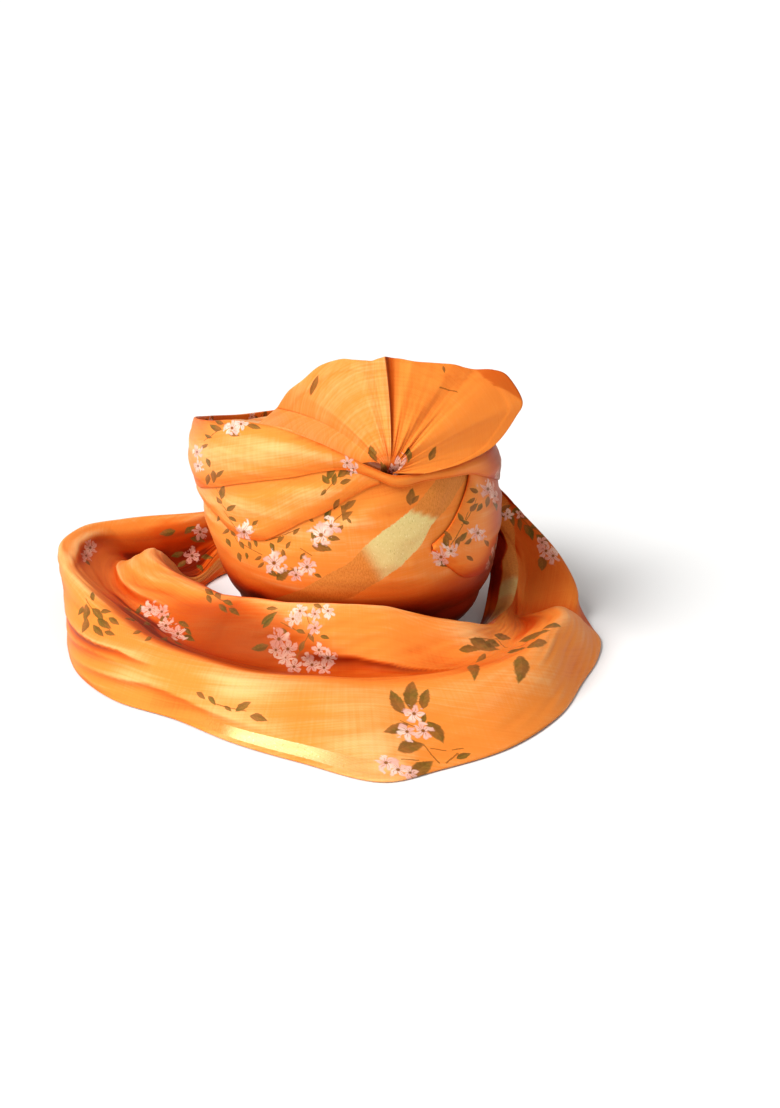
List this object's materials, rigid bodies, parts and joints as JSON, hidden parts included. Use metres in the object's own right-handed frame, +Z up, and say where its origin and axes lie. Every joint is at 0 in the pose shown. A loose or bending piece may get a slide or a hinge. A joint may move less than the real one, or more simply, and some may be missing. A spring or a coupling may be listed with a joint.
{
  "type": "tied turban pagri",
  "caption": "Ready-tied turban resting on a surface: a hollow wound crown with overlapping wraps, a pleated fan at the front and a long free tail that lies round it.",
  "frame": {"origin": "the middle of the overall box, on the surface the turban rests on", "axes": "+Z up, the fan and the front of the crown face -Y, the tail comes out of the crown on its +X side at the back"},
  "size_m": [0.5112, 0.5478, 0.2856],
  "materials": {
    "core_cloth": "plain woven cotton, matte",
    "turban_cloth": "fine silky weave with a printed floral pattern",
    "striped_cloth": "fine silky weave with a printed floral pattern and a woven pale gold stripe"
  },
  "bodies": {
    "root": {"crown_core": "core_cloth", "brim_wrap": "turban_cloth", "gold_wrap": "striped_cloth", "side_wrap": "turban_cloth", "middle_wrap": "turban_cloth", "upper_wrap": "turban_cloth", "top_wrap": "turban_cloth", "fan": "turban_cloth", "tail": "striped_cloth"}
  },
  "joints": []
}
